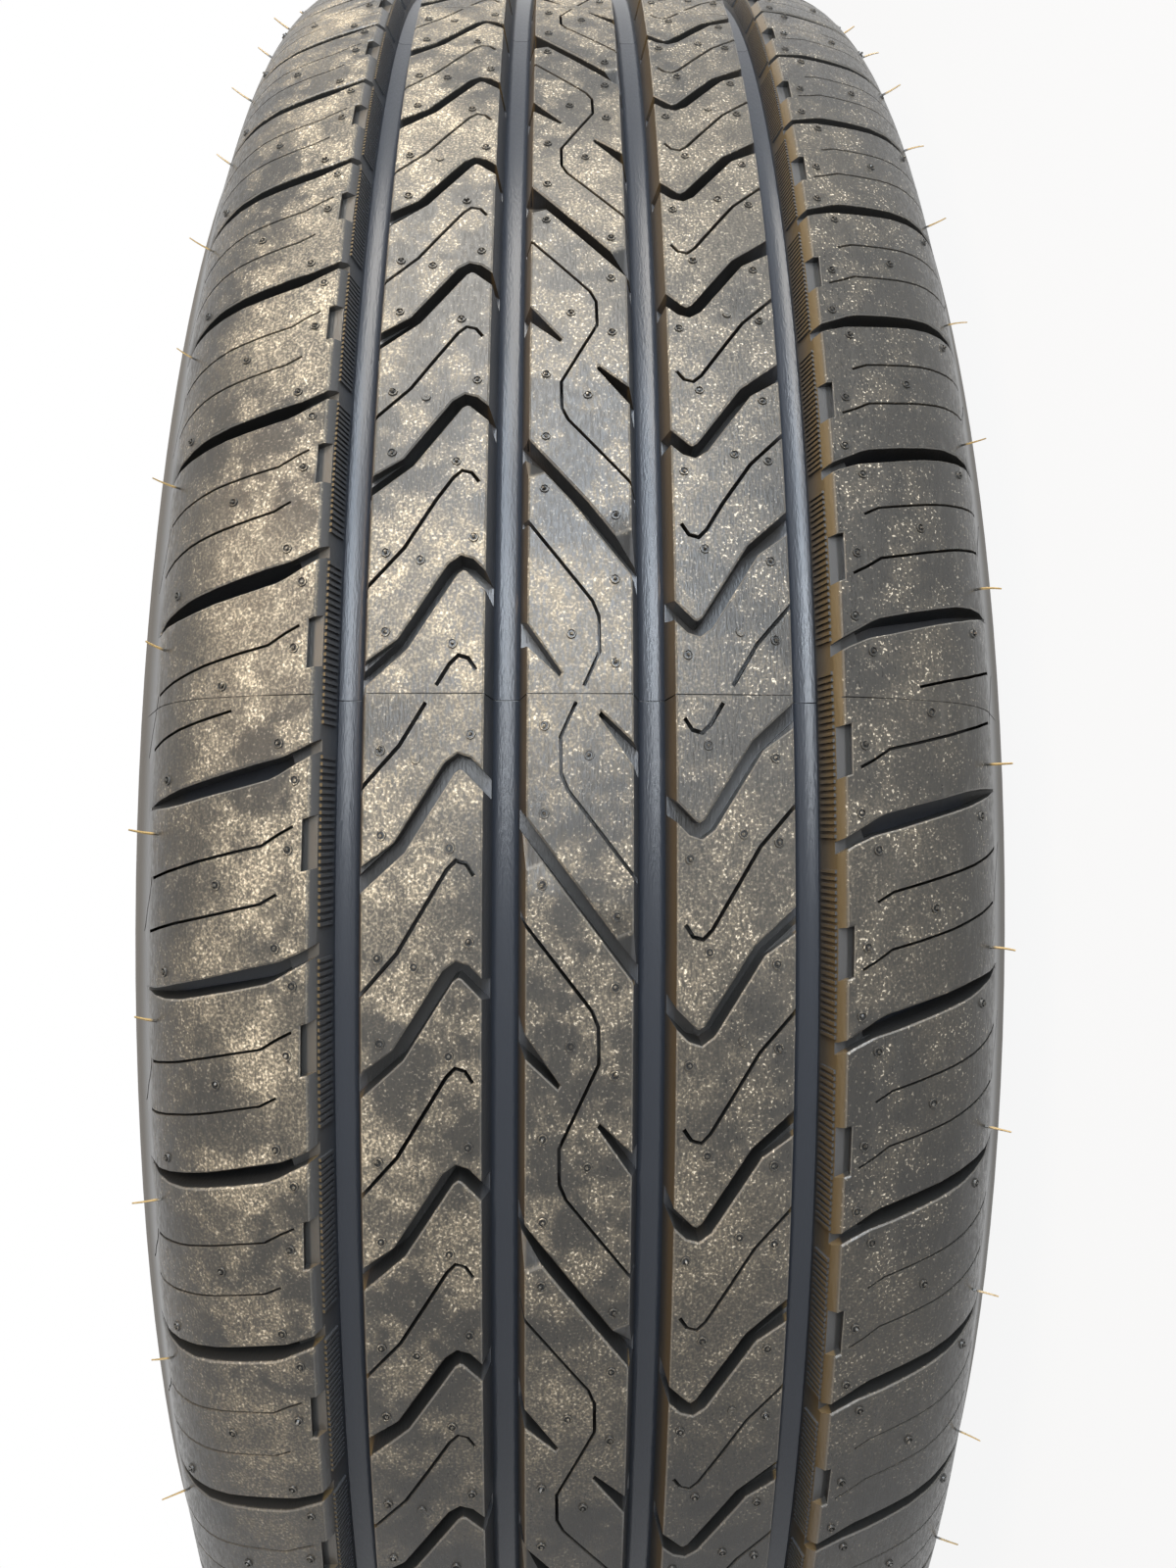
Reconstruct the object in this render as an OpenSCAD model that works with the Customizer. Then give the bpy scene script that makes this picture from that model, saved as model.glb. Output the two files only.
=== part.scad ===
// Car tyre 185/65 R15, new and not mounted on a rim. Millimetres.
// It lies on one sidewall: the axle is Z, and the origin is the middle of the wheel.
// The tread pattern is drawn as points [along, across]. Along runs round the tyre and is
// counted in pitches, the steps in which the pattern repeats. Across is Z, in millimetres.

/* [Tyre] */
// Diameter over the middle of the tread
overall_d = 621.5; // [615:0.5:640]
// Width over the sidewalls
section_w = 189; // [185:1:196]
// Radius at which the sidewalls are widest
widest_r = 246; // [243:1:249]
// Cross radius of the middle of the tread
crown_r = 760; // [600:10:1200]
// Width of the tread that keeps that radius
crown_w = 76; // [60:1:84]
// Cross radius of the tread outside it
shoulder_r = 100; // [80:5:160]
// Width over which each edge of the tread rounds off to the sidewall
edge_round_w = 14; // [10:0.5:16]
// Cross radius of that rounding
edge_round_r = 25; // [22:0.5:40]
// Rubber and cords from the middle of the tread to the air space
crown_t = 17; // [14:0.5:20]
// Cross radius of the sidewalls
side_r = 80; // [70:1:92]
// Thickness of the sidewall at its widest
sidewall_t = 7; // [5:0.5:9]
// Rounding of the air space under the shoulders
inner_shoulder_r = 40; // [24:1:44]

/* [Beads] */
// Diameter of the bead seat, for a 15 inch rim
bead_seat_d = 380.2; // [379.4:0.1:381]
// Distance between the outer faces of the two beads, for a 5.5 inch rim
bead_set = 139.7; // [136:0.1:143]
// Length of each bead seat along the axle
bead_seat_w = 15; // [12:0.5:17]
// Rounding of the outer corner of the bead
bead_heel_r = 4; // [2:0.5:5]
// Height of the rim's flange, which the bead clears
flange_h = 17.5; // [15:0.5:19]
// Radius of the hollow that clears the flange
flange_hollow_r = 11; // [9:0.5:12]
// Height of the bead's outer lip above the flange
lip_h = 7.5; // [6:0.5:9]
// Height above that lip of the thin ring that shows whether the tyre sits true on its rim
fitting_line_h = 6.9; // [4:0.1:12]
// Width of that ring, half of which stands proud of the sidewall
fitting_line_w = 1.6; // [0.8:0.1:2.4]

/* [Main grooves] */
// Width of the tread between its shoulder edges
tread_w = 162; // [158:0.5:165]
// Depth of the four grooves that run round the tyre
groove_depth = 8; // [7.5:0.1:8.5]
// Rounding at the bottom of those grooves
groove_r = 1.2; // [0.4:0.1:1.5]
// Lean of the groove walls over their depth
wall_lean = 0.8; // [0.4:0.1:1.1]
// Width of the rib in the middle
middle_rib_w = 19.2; // [18:0.2:21]
// Width of each groove beside the middle rib
inner_groove_w = 7.7; // [6.5:0.1:8.5]
// Width of each rib between the grooves
side_rib_w = 21.4; // [20:0.2:23]
// Width of each groove beside a shoulder
outer_groove_w = 9.6; // [9:0.1:11]
// Width of the sloping shelf on the shoulder side of an outer groove
shelf_w = 2.8; // [2:0.1:3.2]
// Depth at which that shelf starts
shelf_top = 2.3; // [1.5:0.1:3]
// Depth at which that shelf ends
shelf_end = 6.6; // [5.5:0.1:7]

/* [Pattern] */
// Length of a long pitch over that of a short one
long_pitch = 1.147; // [1.02:0.001:1.25]
// Width of the hooked grooves in the side ribs
hook_w = 2.5; // [1.8:0.1:3]
// Depth of the hooked grooves in the side ribs
hook_depth = 6.5; // [5:0.25:7]
// Width of the fine slits
sipe_w = 0.7; // [0.5:0.05:1]
// Depth of the fine slits
sipe_depth = 5.5; // [4:0.25:6.5]
// Depth of the cross grooves in the shoulders, at their inner ends
cross_depth = 6.2; // [5.5:0.1:6.8]
// Fall of the floor of a cross groove towards the sidewall, which lets it run out at the edge
cross_fall = 21.8; // [20:0.2:24]
// Depth of the raised bar at the inner end of a cross groove
tie_bar_depth = 2.6; // [1.5:0.1:4]
// Depth of the recess in the inner edge of each shoulder block
tab_depth = 1.8; // [1:0.1:2.2]
// Width of the slanted groove through the middle rib
slant_w = 2.2; // [1.6:0.1:3]
// Depth of the slanted groove and of the notches in the middle rib
slant_depth = 6.5; // [5:0.25:7]
// Angle of the bevels at the ends of the slanted groove
bevel_angle = 32; // [20:1:40]

/* [Hidden] */
$fn = 180;

crown_top = overall_d / 2;
half_w = section_w / 2;
bead_r = bead_seat_d / 2;
bead_z = bead_set / 2;
clear = 4;    // how far a cutter runs past the surface it opens

// Edges of the ribs, from the middle of the tread outwards
edge_1 = middle_rib_w / 2;
edge_2 = edge_1 + inner_groove_w;
edge_3 = edge_2 + side_rib_w;
edge_4 = edge_3 + outer_groove_w;
edge_5 = tread_w / 2;

// Order of the pairs of pitches round the tyre: 1 is long, 0 is short.
// The order is uneven so that the blocks don't hum at one pitch on the road.
pairs = [1, 0, 0, 0, 1, 1, 0, 0, 1, 1, 1, 0, 0, 1, 1, 0, 1, 1, 1, 0, 0, 1, 1, 1, 0, 0, 1, 1];
first_pair_angle = -91.5;    // a long pair starts at the front, which is -Y

function pair_weight(i) = pairs[i] == 1 ? long_pitch : 1;
function weight_before(i) = i == 0 ? 0 : weight_before(i - 1) + pair_weight(i - 1);
function pair_start(i) = first_pair_angle + 360 * weight_before(i) / weight_before(len(pairs));
function pitch_angle(i) = 180 * pair_weight(i) / weight_before(len(pairs));

// Radius of the tread surface at a place across the tyre: three arcs that run on smoothly
function beside_arc(c, r, z) = c.y + sqrt(r * r - pow(z - c.x, 2));
function next_centre(c, r, z, r_next) = [z, beside_arc(c, r, z)] + r_next / r * (c - [z, beside_arc(c, r, z)]);
crown_c = [0, crown_top - crown_r];
shoulder_c = next_centre(crown_c, crown_r, crown_w / 2, shoulder_r);
round_start = edge_5 - edge_round_w;
round_c = next_centre(shoulder_c, shoulder_r, round_start, edge_round_r);
function tread_r(z) = let (a = min(abs(z), edge_5))
    a <= crown_w / 2 ? beside_arc(crown_c, crown_r, a) :
    a <= round_start ? beside_arc(shoulder_c, shoulder_r, a) :
    beside_arc(round_c, edge_round_r, a);

// Points on a round stretch of an outline, and an outline read backwards on the other side
function arc(c, r, from, to, steps) =
    [for (i = [0:steps]) let (a = from + (to - from) * i / steps) c + r * [cos(a), sin(a)]];
function other_half(pts) = [for (i = [len(pts) - 1:-1:0]) [pts[i].x, -pts[i].y]];

// Section of the casing, [radius, across]. A sidewall is widest at widest_r. Above and below
// that place it is an arc that stretches with the height there.
upper_axis = 1.24 * (crown_top - widest_r);
lower_axis = 1.43 * (widest_r - bead_r);
function side_point(r, a) =
    [widest_r + (cos(a) > 0 ? upper_axis : lower_axis) * cos(a), half_w - side_r + r * sin(a)];
function side_angle(r) = acos((r - widest_r) / (r > widest_r ? upper_axis : lower_axis));
function side_z(r) = side_point(side_r, side_angle(r)).y;
buttress_angle = 69.7;    // where the sidewall meets the slope under the edge of the tread
lip_r = bead_r + flange_h + lip_h;
hollow_c = [bead_r + flange_h - flange_hollow_r + 2.5, bead_z + flange_hollow_r];
heel_c = [bead_r + bead_heel_r, bead_z - bead_heel_r];
edge_points = [edge_2, edge_3, edge_4, round_start - 3, round_start + 7, edge_5];
outer_half = concat(
    [[crown_top, edge_1]],
    [for (z = edge_points) [tread_r(z), z]],
    [for (i = [0:12]) side_point(side_r, buttress_angle + (side_angle(lip_r) - buttress_angle) * i / 12)],
    arc(hollow_c, flange_hollow_r, -25, -90, 5),
    arc(heel_c, bead_heel_r, 90, 180, 4),
    [[bead_r, bead_z - bead_seat_w]]);

// The air space: a thick bead eases into the thin sidewall, then rounds in under the tread.
// Its curves are drawn for a height above the bead's lip, and stretch to the real one.
drawn_h = 78.65;
drawn_widest_h = 30.9;
inner_top = crown_top - crown_t;
inner_side_r = side_r - sidewall_t;
inner_z = half_w - side_r;
inner_stretch = (inner_top - lip_r) / drawn_h;
inner_widest_r = lip_r + drawn_widest_h * inner_stretch;
apex_r = bead_r + 6;
toe_z = bead_z - bead_seat_w + 0.8;
corner_up = drawn_h - drawn_widest_h - inner_shoulder_r;
corner_z = inner_z + sqrt(pow(inner_side_r - inner_shoulder_r, 2) - corner_up * corner_up);
corner_angle = atan2(corner_z - inner_z, corner_up);
ease_angle = 96.3;
function inner_point(c, r, a) = [inner_widest_r + (c.x + r * cos(a)) * inner_stretch, c.y + r * sin(a)];
ease = inner_point([0, inner_z], inner_side_r, ease_angle);
inner_half = concat(
    [for (i = [0:7]) let (u = i / 8)
        [apex_r + (ease.x - apex_r) * u, toe_z + (ease.y - toe_z) * u * u * (3 - 2 * u)]],
    [for (i = [0:4]) inner_point([0, inner_z], inner_side_r, ease_angle + (corner_angle + 3 - ease_angle) * i / 4)],
    [for (i = [0:9]) inner_point([corner_up, corner_z], inner_shoulder_r, corner_angle * (1 - i / 9))]);

module casing_section() {
    polygon(concat(outer_half, inner_half, other_half(inner_half), other_half(outer_half)));
}

// Section of a groove beside the middle rib
module inner_groove_section() {
    floor_r = tread_r((edge_1 + edge_2) / 2) - groove_depth;
    top = [[crown_top + clear, edge_2], [crown_top + clear, edge_1]];
    polygon(concat(
        top,
        arc([floor_r + groove_r, edge_1 + wall_lean + groove_r], groove_r, -90, -180, 4),
        arc([floor_r + groove_r, edge_2 - wall_lean - groove_r], groove_r, 180, 90, 4)));
}

// Section of a groove beside a shoulder: its outer wall steps down over a sloping shelf
module outer_groove_section() {
    surface = tread_r((edge_3 + edge_4) / 2);
    floor_r = surface - groove_depth;
    polygon(concat(
        [[crown_top + clear, edge_4], [crown_top + clear, edge_3]],
        arc([floor_r + groove_r, edge_3 + wall_lean + groove_r], groove_r, -90, -180, 4),
        [[floor_r, edge_4 - wall_lean - shelf_w - groove_r],
         [surface - shelf_end, edge_4 - wall_lean - shelf_w],
         [surface - shelf_top, edge_4 - wall_lean]]));
}

module fitting_line() {
    line_r = lip_r + fitting_line_h;
    rotate_extrude() translate([line_r, side_z(line_r)]) circle(d = fitting_line_w, $fn = 24);
}

module casing() {
    rotate_extrude()
        difference() {
            casing_section();
            for (side = [0, 1]) mirror([0, side]) {
                inner_groove_section();
                outer_groove_section();
            }
        }
    for (side = [0, 1]) mirror([0, 0, side]) fitting_line();
}

// Outline of a line of a given width that follows a path, with mitred corners
function unit(v) = v / norm(v);
function left_of(p, q) = [p.y - q.y, q.x - p.x] / norm(q - p);
function beside(path, w) =
    [for (i = [0:len(path) - 1])
        let (a = left_of(path[max(i - 1, 0)], path[max(i, 1)]),
             b = left_of(path[min(i, len(path) - 2)], path[min(i + 1, len(path) - 1)]),
             m = unit(a + b))
        path[i] + m * w / (m * a)];
function backwards(pts) = [for (i = [len(pts) - 1:-1:0]) pts[i]];
function stroke(path, w) = concat(beside(path, w / 2), backwards(beside(path, -w / 2)));

// Points in pitches along, brought to millimetres about the place where a cutter stands
function scaled(pts, at, pitch) = [for (p = pts) [(p.x - at) * pitch, p.y]];

// A cutter with the outline pts, straight down to a floor below the tread. It stands at a
// place along the pattern, counted in pitches of the given angle.
module cutter(pts, at, angle, floor_r) {
    rotate([0, 0, at * angle])
        translate([floor_r, 0, 0])
            rotate([90, 0, 90])
                linear_extrude(crown_top + clear - floor_r) polygon(pts);
}
module cut_area(pts, at, angle, z, depth) {
    pitch = crown_top * angle * PI / 180;
    cutter(scaled(pts, at, pitch), at, angle, tread_r(z) - depth);
}
// A cutter whose floor falls towards the sidewall. Each point keeps its place on the tread surface.
module cut_falling_area(pts, at, angle, z, depth, fall) {
    foot = [tread_r(z) - depth, z];
    flat = [for (p = pts) [(p.x - at) * angle * PI / 180 * tread_r(p.y),
                           (p.y - z) * cos(fall) - (tread_r(p.y) - foot.x) * sin(fall)]];
    rotate([0, 0, at * angle])
        translate([foot.x, 0, foot.y])
            rotate([0, -fall, 0])
                rotate([90, 0, 90])
                    linear_extrude(crown_top + clear - foot.x + 12) polygon(flat);
}
module cut_line(path, w, at, angle, z, depth) {
    pitch = crown_top * angle * PI / 180;
    cutter(stroke(scaled(path, at, pitch), w), at, angle, tread_r(z) - depth);
}

// Outlines and paths of the cutters in one half of the tread, for the first pitch of a pair.
// A pair of pitches starts where a slanted groove crosses the middle rib.
hook_path = [[0.025, 41], [0.25, 32.1], [0.672, 21.4], [0.51, 15]];
hook_sipe = [[0.48, 40.7], [0.744, 32.3], [1.2, 21.6], [1.117, 18.8]];
cross_area = [[0.708, 51.6], [0.54, 73.6], [0.425, 83.4], [0.443, 77.2], [0.605, 53.6]];
tie_bar_area = [[0.802, 45.2], [0.696, 52.3], [0.642, 52.3], [0.745, 45.2]];
tab_area = [[0.42, 46], [0.385, 49.6], [0.132, 49.6], [0.155, 46]];
notch_area = [[1.449, 12], [1.11, 3.75], [1.367, 12]];

function step(pts, k) = [for (p = pts) [p.x + k, p.y]];

module shoulder_pitch(k, angle) {
    cut_falling_area(step(cross_area, k), k + 0.57, angle, 50, cross_depth, cross_fall);
    cut_area(step(tie_bar_area, k), k + 0.7, angle, edge_4, tie_bar_depth);
    cut_area(step(tab_area, k), k + 0.3, angle, edge_4, tab_depth);
}

module side_rib_pitch(k, angle) {
    cut_line(step(hook_path, k), hook_w, k + 0.4, angle, edge_3, hook_depth);
    cut_line(step(hook_sipe, k), sipe_w, k + 0.85, angle, edge_3, sipe_depth);
}

// A bevel on the sharp corner of a block: a slope that falls from a hinge towards the corner
module corner_bevel(at, z, turn, angle) {
    length = 9;
    width = 3.4;
    rotate([0, 0, at * angle])
        translate([tread_r(z), 0, z])
            rotate([turn, 0, 0])
                linear_extrude(width, center = true)
                    polygon([[0, 0], [-length * tan(bevel_angle), length], [clear, length], [clear, 0]]);
}

module half_pattern(angle) {
    for (k = [0, 1]) {
        shoulder_pitch(k, angle);
        side_rib_pitch(k, angle);
    }
    cut_area(notch_area, 1.3, angle, edge_1, slant_depth);
    corner_bevel(0.154, 7.9, 20, angle);
}

// Cutters of the middle rib, which are the same when turned half round
slant_path = [[0.451, 12.5], [-0.451, -12.5]];
bend_half = [[0.95, 11.5], [0.47, -2.2], [0.39, -3.4], [0.21, -3.5]];
bend_path = concat(bend_half, [for (p = backwards(bend_half)) -p]);

module middle_pattern(angle) {
    cut_line(slant_path, slant_w, 0, angle, 0, slant_depth);
    cut_line(step(bend_path, 1), sipe_w, 1, angle, 0, sipe_depth);
}

module pair_pattern(i) {
    angle = pitch_angle(i);
    rotate([0, 0, pair_start(i)]) {
        middle_pattern(angle);
        half_pattern(angle);
        rotate([0, 0, 2 * angle]) rotate([180, 0, 0]) half_pattern(angle);
    }
}

module tyre() {
    color([0.16, 0.16, 0.17])
        difference() {
            casing();
            for (i = [0:len(pairs) - 1]) pair_pattern(i);
        }
}

tyre();
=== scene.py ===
import math
import random
import bpy
import bmesh
from mathutils import Matrix, Vector


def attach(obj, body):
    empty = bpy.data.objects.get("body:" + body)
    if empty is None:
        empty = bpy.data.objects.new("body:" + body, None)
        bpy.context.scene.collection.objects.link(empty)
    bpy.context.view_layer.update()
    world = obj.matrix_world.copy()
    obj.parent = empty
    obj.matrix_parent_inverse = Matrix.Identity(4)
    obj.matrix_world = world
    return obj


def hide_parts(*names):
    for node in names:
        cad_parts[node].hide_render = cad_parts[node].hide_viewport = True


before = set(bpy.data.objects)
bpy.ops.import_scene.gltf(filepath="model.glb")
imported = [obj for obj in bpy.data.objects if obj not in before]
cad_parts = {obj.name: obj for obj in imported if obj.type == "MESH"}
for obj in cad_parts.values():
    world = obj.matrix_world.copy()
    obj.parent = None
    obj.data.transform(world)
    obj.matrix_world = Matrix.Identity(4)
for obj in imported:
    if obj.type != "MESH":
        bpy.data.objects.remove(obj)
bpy.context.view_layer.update()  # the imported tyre, its axle along Z and its origin in the middle of the wheel
print("frame loaded, nodes:", sorted(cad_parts))

mm = 0.001
mergeWithin = 0.02 * mm

# The tread is modelled flat, as one pair of pitches, and is then bent round the tyre.
# In the flat model, in millimetres, X runs along the tread, Y across it and Z is the radius.
tyre = {
    "overallDiameter": 621.5,
    "sectionWidth": 189.0,
    "widestRadius": 246.0,
    "crownRadius": 760.0,
    "crownWidth": 76.0,         # width of the tread that keeps that radius
    "crownThickness": 17.0,
    "shoulderRadius": 100.0,    # cross radius outside the crown
    "edgeWidth": 14.0,          # width over which each edge rounds off to the sidewall
    "edgeRadius": 25.0,         # cross radius of that rounding
    "edgeFall": 2.06,           # fall of the slope past the edge, for each millimetre across
    "edgeSlope": [(286.3, 83.4), (281.0, 85.9), (277.6, 87.5)],  # its points: radius, across
    "shoulderSteps": (52.5, 56.5, 60.5, 64, 67, 69.5, 72, 74.3, 76.5, 78.5, 80.2, 81.2),
    "sideRadius": 80.0,
    "sideStart": 69.7,          # angle on that radius at which the sidewall starts
    "sidewallThickness": 7.0,
    "innerShoulderRadius": 40.0,
    "beadSeatDiameter": 380.2,
    "beadSet": 139.7,
    "beadSeatWidth": 15.0,
    "heelRadius": 4.0,
    "flangeHeight": 17.5,
    "flangeHollow": 11.0,
    "hollowLift": 2.5,          # the hollow's centre over the flange, less its radius
    "hollowLip": 7.5,           # top of the hollow over the flange
    "toe": (6, 0.8),            # the bead's toe, up and outwards from the end of its seat
    "easeAngle": 96.3,          # angle at which the inside leaves the sidewall for the toe
    "easeSteps": 6,
    "fittingLine": 222.0,
    "fittingLineHeight": 0.7,
    "fittingLineHalf": (0.9, 0.35),  # half of its width at the foot and at the top, in degrees
    "treadWidth": 162.0,
    "grooveDepth": 8.0,
    "grooveRound": 1.2,
    "wallLean": 1.3,
    "middleRib": 19.2,
    "innerGroove": 7.7,
    "sideRib": 21.4,
    "outerGroove": 9.6,
    "shelfLean": 1.45,          # lean of the wall above the sloping shelf
    "shelfWidth": 1.85,
    "shelfTop": 2.3,
    "shelfEnd": 6.6,
    "shelfFoot": [(0, 1.4), (0.35, 0.5)],  # height over the floor and distance from the shelf
    "shelfCorner": (0.2, 0.1),
    "blockEdge": 0.35,          # rounding of every block edge
    "smoothAngle": 32,          # edges that turn by more degrees stay sharp
}

crownTop = tyre["overallDiameter"] / 2
halfWidth = tyre["sectionWidth"] / 2
edge1 = tyre["middleRib"] / 2
edge2 = edge1 + tyre["innerGroove"]
edge3 = edge2 + tyre["sideRib"]
edge4 = edge3 + tyre["outerGroove"]
edge5 = tyre["treadWidth"] / 2


def arcHeight(centre, radius, across):
    return centre[1] + math.sqrt(radius * radius - (across - centre[0]) ** 2)


def nextCentre(centre, radius, across, nextRadius):
    height = arcHeight(centre, radius, across)
    k = nextRadius / radius
    return (across + k * (centre[0] - across), height + k * (centre[1] - height))


# Three arcs that run on smoothly, from the middle of the tread to its edge
crownEnd = tyre["crownWidth"] / 2
shoulderEnd = edge5 - tyre["edgeWidth"]
crownCentre = (0, crownTop - tyre["crownRadius"])
shoulderCentre = nextCentre(crownCentre, tyre["crownRadius"], crownEnd, tyre["shoulderRadius"])
edgeCentre = nextCentre(shoulderCentre, tyre["shoulderRadius"], shoulderEnd, tyre["edgeRadius"])


def treadRadius(across):
    a = abs(across)
    if a <= crownEnd:
        return arcHeight(crownCentre, tyre["crownRadius"], a)
    if a <= shoulderEnd:
        return arcHeight(shoulderCentre, tyre["shoulderRadius"], a)
    return arcHeight(edgeCentre, tyre["edgeRadius"], min(a, edge5)) - tyre["edgeFall"] * max(0, a - edge5)


def arc(centreRadius, centreAcross, radius, start, end, steps):
    points = []
    for i in range(steps + 1):
        a = math.radians(start + (end - start) * i / steps)
        points.append((centreRadius + radius * math.cos(a), centreAcross + radius * math.sin(a)))
    return points


def wallDown(edge, floor):
    # From the rounded edge of a block, down the wall of a long groove to its rounded foot
    lip, rounding = tyre["blockEdge"], tyre["grooveRound"]
    foot = arc(floor + rounding, edge + tyre["wallLean"] + rounding, rounding, 270, 180, 3)
    return [(treadRadius(edge), edge - lip), (treadRadius(edge) - lip, edge)] + foot


def blockCorner(edge):
    lip = tyre["blockEdge"]
    return [(treadRadius(edge) - lip, edge), (treadRadius(edge), edge + lip)]


def innerGroovePoints():
    rounding = tyre["grooveRound"]
    floor = treadRadius((edge1 + edge2) / 2) - tyre["grooveDepth"]
    points = wallDown(edge1, floor)
    points += arc(floor + rounding, edge2 - tyre["wallLean"] - rounding, rounding, 180, 90, 3)
    return points + blockCorner(edge2)


def outerGroovePoints():
    # The outer wall of this groove steps down over a sloping shelf
    surface = treadRadius((edge3 + edge4) / 2)
    floor = surface - tyre["grooveDepth"]
    shelf = edge4 - tyre["shelfLean"]
    foot = shelf - tyre["shelfWidth"]
    up, out = tyre["shelfCorner"]
    points = wallDown(edge3, floor)
    points += [(floor + rise, foot - away) for rise, away in tyre["shelfFoot"]]
    points += [(surface - tyre["shelfEnd"], foot)]
    points += [(surface - tyre["shelfTop"] - up, shelf - out), (surface - tyre["shelfTop"] + up, shelf + out)]
    return points + blockCorner(edge4)


def shoulderPoints():
    # The outer ring of blocks, then the slope under the edge of the tread
    return [(treadRadius(y), y) for y in tyre["shoulderSteps"]] + tyre["edgeSlope"]


def sidewallPoints():
    widest, bulge = tyre["widestRadius"], tyre["sideRadius"]
    lip = tyre["beadSeatDiameter"] / 2 + tyre["flangeHeight"] + tyre["hollowLip"]
    centre = halfWidth - bulge

    def angleAt(radius):
        return math.degrees(math.acos((radius - widest) / bulge))
    line = angleAt(tyre["fittingLine"])
    foot, top = tyre["fittingLineHalf"]
    points = arc(widest, centre, bulge, tyre["sideStart"], line - foot, 10)
    points += arc(widest, centre, bulge + tyre["fittingLineHeight"], line - top, line + top, 1)
    return points + arc(widest, centre, bulge, line + foot, angleAt(lip), 2)


def beadPoints():
    radius, across = tyre["beadSeatDiameter"] / 2, tyre["beadSet"] / 2
    hollow, heel = tyre["flangeHollow"], tyre["heelRadius"]
    hollowRadius = radius + tyre["flangeHeight"] - hollow + tyre["hollowLift"]
    points = arc(hollowRadius, across + hollow, hollow, -25, -90, 5)
    points += arc(radius + heel, across - heel, heel, 90, 180, 4)
    return points + [(radius, across - tyre["beadSeatWidth"])]


def insidePoints():
    widest, centre = tyre["widestRadius"], halfWidth - tyre["sideRadius"]
    inner, rounding = tyre["sideRadius"] - tyre["sidewallThickness"], tyre["innerShoulderRadius"]
    toeRadius = tyre["beadSeatDiameter"] / 2 + tyre["toe"][0]
    toe = tyre["beadSet"] / 2 - tyre["beadSeatWidth"] + tyre["toe"][1]
    ease, steps = tyre["easeAngle"], tyre["easeSteps"]
    easeRadius, easeAcross = arc(widest, centre, inner, ease, ease, 1)[0]
    points = []
    for i in range(steps):
        u = i / steps
        blend = u * u * (3 - 2 * u)
        points.append((toeRadius + (easeRadius - toeRadius) * u, toe + (easeAcross - toe) * blend))
    up = crownTop - tyre["crownThickness"] - rounding - widest
    cornerAcross = centre + math.sqrt((inner - rounding) ** 2 - up * up)
    cornerAngle = math.degrees(math.atan2(cornerAcross - centre, up))
    points += arc(widest, centre, inner, ease, cornerAngle + 3, 2)
    return points + arc(widest + up, cornerAcross, rounding, cornerAngle, 0, 5)


def halfSection():
    points = [(crownTop, 0.0)] + innerGroovePoints()
    points += [(treadRadius((edge2 + edge3) / 2), (edge2 + edge3) / 2)] + outerGroovePoints()
    return points + shoulderPoints() + sidewallPoints() + beadPoints() + insidePoints()


# Outlines and paths are [along, across]: along in pitches from the start of a pair, across in millimetres.
# They are one half of the tread. The other half is the same, turned half round.
pattern = {
    "pairs": [1, 0, 0, 0, 1, 1, 0, 0, 1, 1, 1, 0, 0, 1, 1, 0, 1, 1, 1, 0, 0, 1, 1, 1, 0, 0, 1, 1],
    "longPitch": 1.147,   # length of a long pitch over that of a short one
    "firstAngle": -91.5,  # a long pair starts at the front
    "flatPitch": 34.6,    # length of a pitch in the flat model
    "steps": 6,           # straight steps in a pair, which let it bend
}
everyPitch = {
    "hook": {
        "path": [(0.025, 41), (0.25, 32.1), (0.635, 23.3), (0.668, 21.7), (0.655, 20.2), (0.51, 15)],
        "width": 2.5, "depth": 6.5, "lip": 0.3},
    "hookLedge": {
        "outline": [(0.115, 41), (0.31, 31.2), (0.2, 33.6), (0.01, 41)], "depth": 2.4, "lip": 0.25},
    "hookSlit": {
        "path": [(0.48, 40.7), (0.744, 32.3), (1.145, 23.6), (1.19, 22), (1.176, 20.2), (1.117, 18.8)],
        "width": 0.75, "depth": 5.5},
    "crossGroove": {
        "outline": [(0.704, 52), (0.686, 54.2), (0.657, 58.6), (0.605, 65.3), (0.54, 73.6), (0.49, 78.4),
                    (0.44, 82.8), (0.434, 82.4), (0.441, 79), (0.446, 76.6), (0.463, 73), (0.499, 68),
                    (0.537, 62.2), (0.58, 56), (0.604, 54.1), (0.65, 51.4)],
        "depth": 6.2, "lip": 0.3, "fall": 0.4},
    "tieBar": {
        "outline": [(0.805, 45.2), (0.738, 49.7), (0.695, 53.2), (0.625, 52.9), (0.6955, 48.4),
                    (0.742, 45.2)],
        "depth": 2.6, "lip": 0.3},
    "tab": {
        "outline": [(0.42, 46), (0.386, 49.5), (0.132, 49.6), (0.155, 46)], "depth": 1.8, "lip": 0.25},
    "longSlit": {
        "path": [(0.352, 51.1), (0.312, 53.8), (0.256, 56.9), (0.222, 62.4), (0.172, 69.4), (0.138, 73.2),
                 (0.11, 76.3), (0.066, 80.3)],
        "width": 0.55, "depth": 5.0},
    "shortSlit": {
        "path": [(0.02, 54), (-0.03, 57.2), (-0.063, 62.2), (-0.12, 70.3), (-0.151, 74.4), (-0.188, 78),
                 (-0.233, 81.5)],
        "width": 0.55, "depth": 5.0},
    "edgeSlit": {
        "path": [(0.07, 80.9), (0.03, 81.1), (-0.031, 81.7), (-0.121, 82.9), (-0.22, 83.9), (-0.26, 84.5)],
        "width": 0.25, "depth": 1.2},
}
notch = {"outline": [(1.449, 12), (1.105, 3.3), (1.085, 3.75), (1.298, 12)], "depth": 6.5, "lip": 0.3}
cornerBevel = {"hinge": (0.154, 7.9), "turn": 22, "angle": 32, "length": 9.0, "width": 3.4}
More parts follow.
